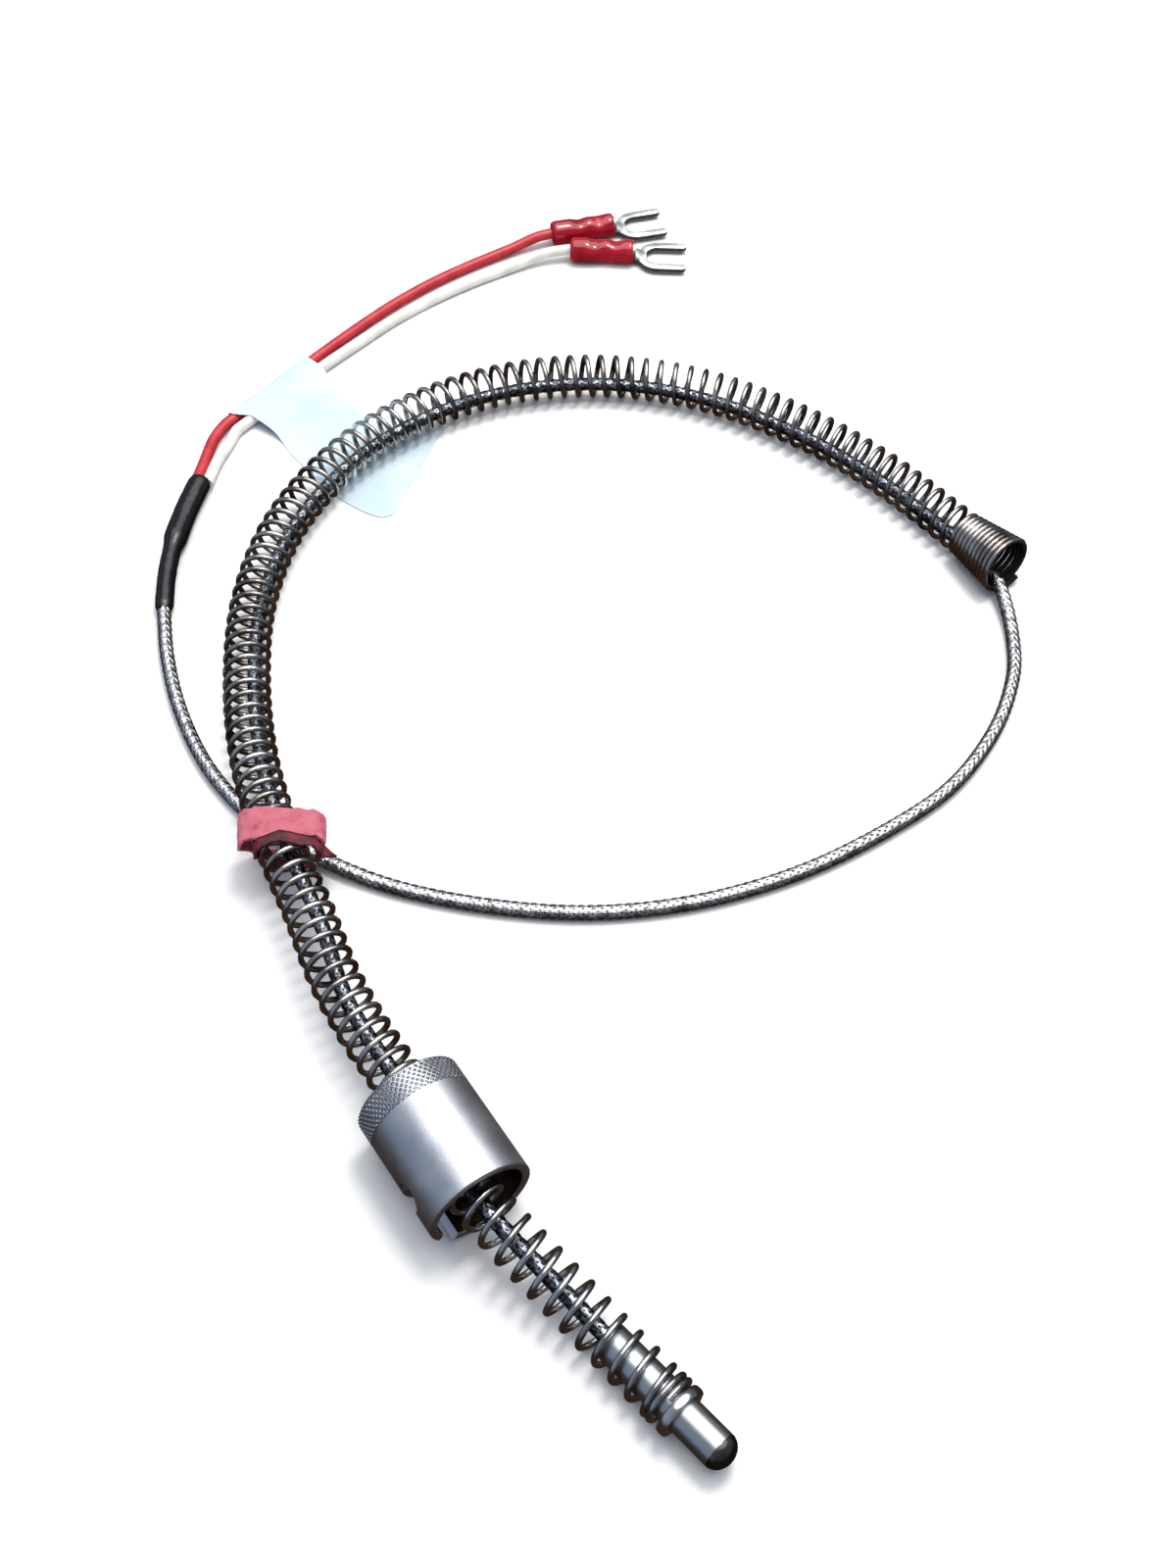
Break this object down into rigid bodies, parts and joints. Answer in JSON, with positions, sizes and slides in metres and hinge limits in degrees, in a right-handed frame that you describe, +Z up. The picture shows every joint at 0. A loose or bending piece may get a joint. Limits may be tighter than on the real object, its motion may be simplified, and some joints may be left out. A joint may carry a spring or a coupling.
{
  "type": "spring-adjustable bayonet thermocouple probe",
  "caption": "Closed metal probe tip on a spring-armoured braided cable, with a knurled bayonet cap that screws along the spring and a pair of leads ending in fork terminals.",
  "frame": {"origin": "on the table plane, under the middle of the sprung probe without its free cord", "axes": "+Z up from the table, +Y from the probe tip towards the top of the spring's arc, +X towards the flared end of the spring"},
  "size_m": [0.1361, 0.2268, 0.0146],
  "materials": {
    "satin_cap": "satin turned, knurled band",
    "ring_steel": "plain",
    "spring_steel": "bright drawn wire",
    "tube_steel": "bright drawn",
    "junction_alloy": "weld bead",
    "iron_wire": "drawn",
    "alloy_wire": "drawn",
    "ceramic": "fired",
    "cement": "set",
    "steel_braid": "woven bright wire",
    "black_sleeve": "shrunk, glossy",
    "red_insulation": "satin",
    "white_insulation": "satin",
    "red_vinyl": "glossy",
    "tinned_brass": "tinned, dull bright",
    "label_paper": "thin paper",
    "pink_rubber": "matte, torn edges"
  },
  "bodies": {
    "armoured_lead": {"rear_spring": "spring_steel", "front_spring": "spring_steel", "cable_front": "steel_braid", "cable_inner": "steel_braid", "lead_cable": "steel_braid", "shrink_sleeve": "black_sleeve", "lead_red": "red_insulation", "lead_white": "white_insulation", "vinyl_sleeve_red": "red_vinyl", "vinyl_sleeve_white": "red_vinyl", "fork_terminal_red": "tinned_brass", "fork_terminal_white": "tinned_brass", "conductor_red": "alloy_wire", "conductor_white": "iron_wire", "label_flag": "label_paper", "rubber_tie": "pink_rubber"},
    "tip": {"probe_tube": "tube_steel", "stop_collar": "tube_steel", "hot_junction": "junction_alloy", "wire_positive": "iron_wire", "wire_negative": "alloy_wire", "tip_insulator": "ceramic", "potting_plug": "cement"},
    "ring": {"thrust_ring": "ring_steel"},
    "cap": {"bayonet_cap": "satin_cap"}
  },
  "joints": [
    {"name": "tip_press", "type": "slide", "parent": "armoured_lead", "child": "tip", "axis": [-0.7009, 0.7132, 0], "range_m": [0, 0.01], "stiffness_N_per_m": 1000, "deforming": ["front_spring", "cable_front"]},
    {"name": "cap_travel", "type": "slide", "parent": "armoured_lead", "child": "ring", "axis": [-0.5592, 0.829, 0], "range_m": [0, 0.01]},
    {"name": "cap_turn", "type": "hinge", "parent": "ring", "child": "cap", "pos_m": [-0.02895, -0.04824, 0.0073], "axis": [-0.5592, 0.829, 0], "range_deg": [0, 1440]}
  ],
  "couplings": [
    {"joint": "cap_turn", "follows": "cap_travel", "rad_per_m": 2513.3}
  ]
}
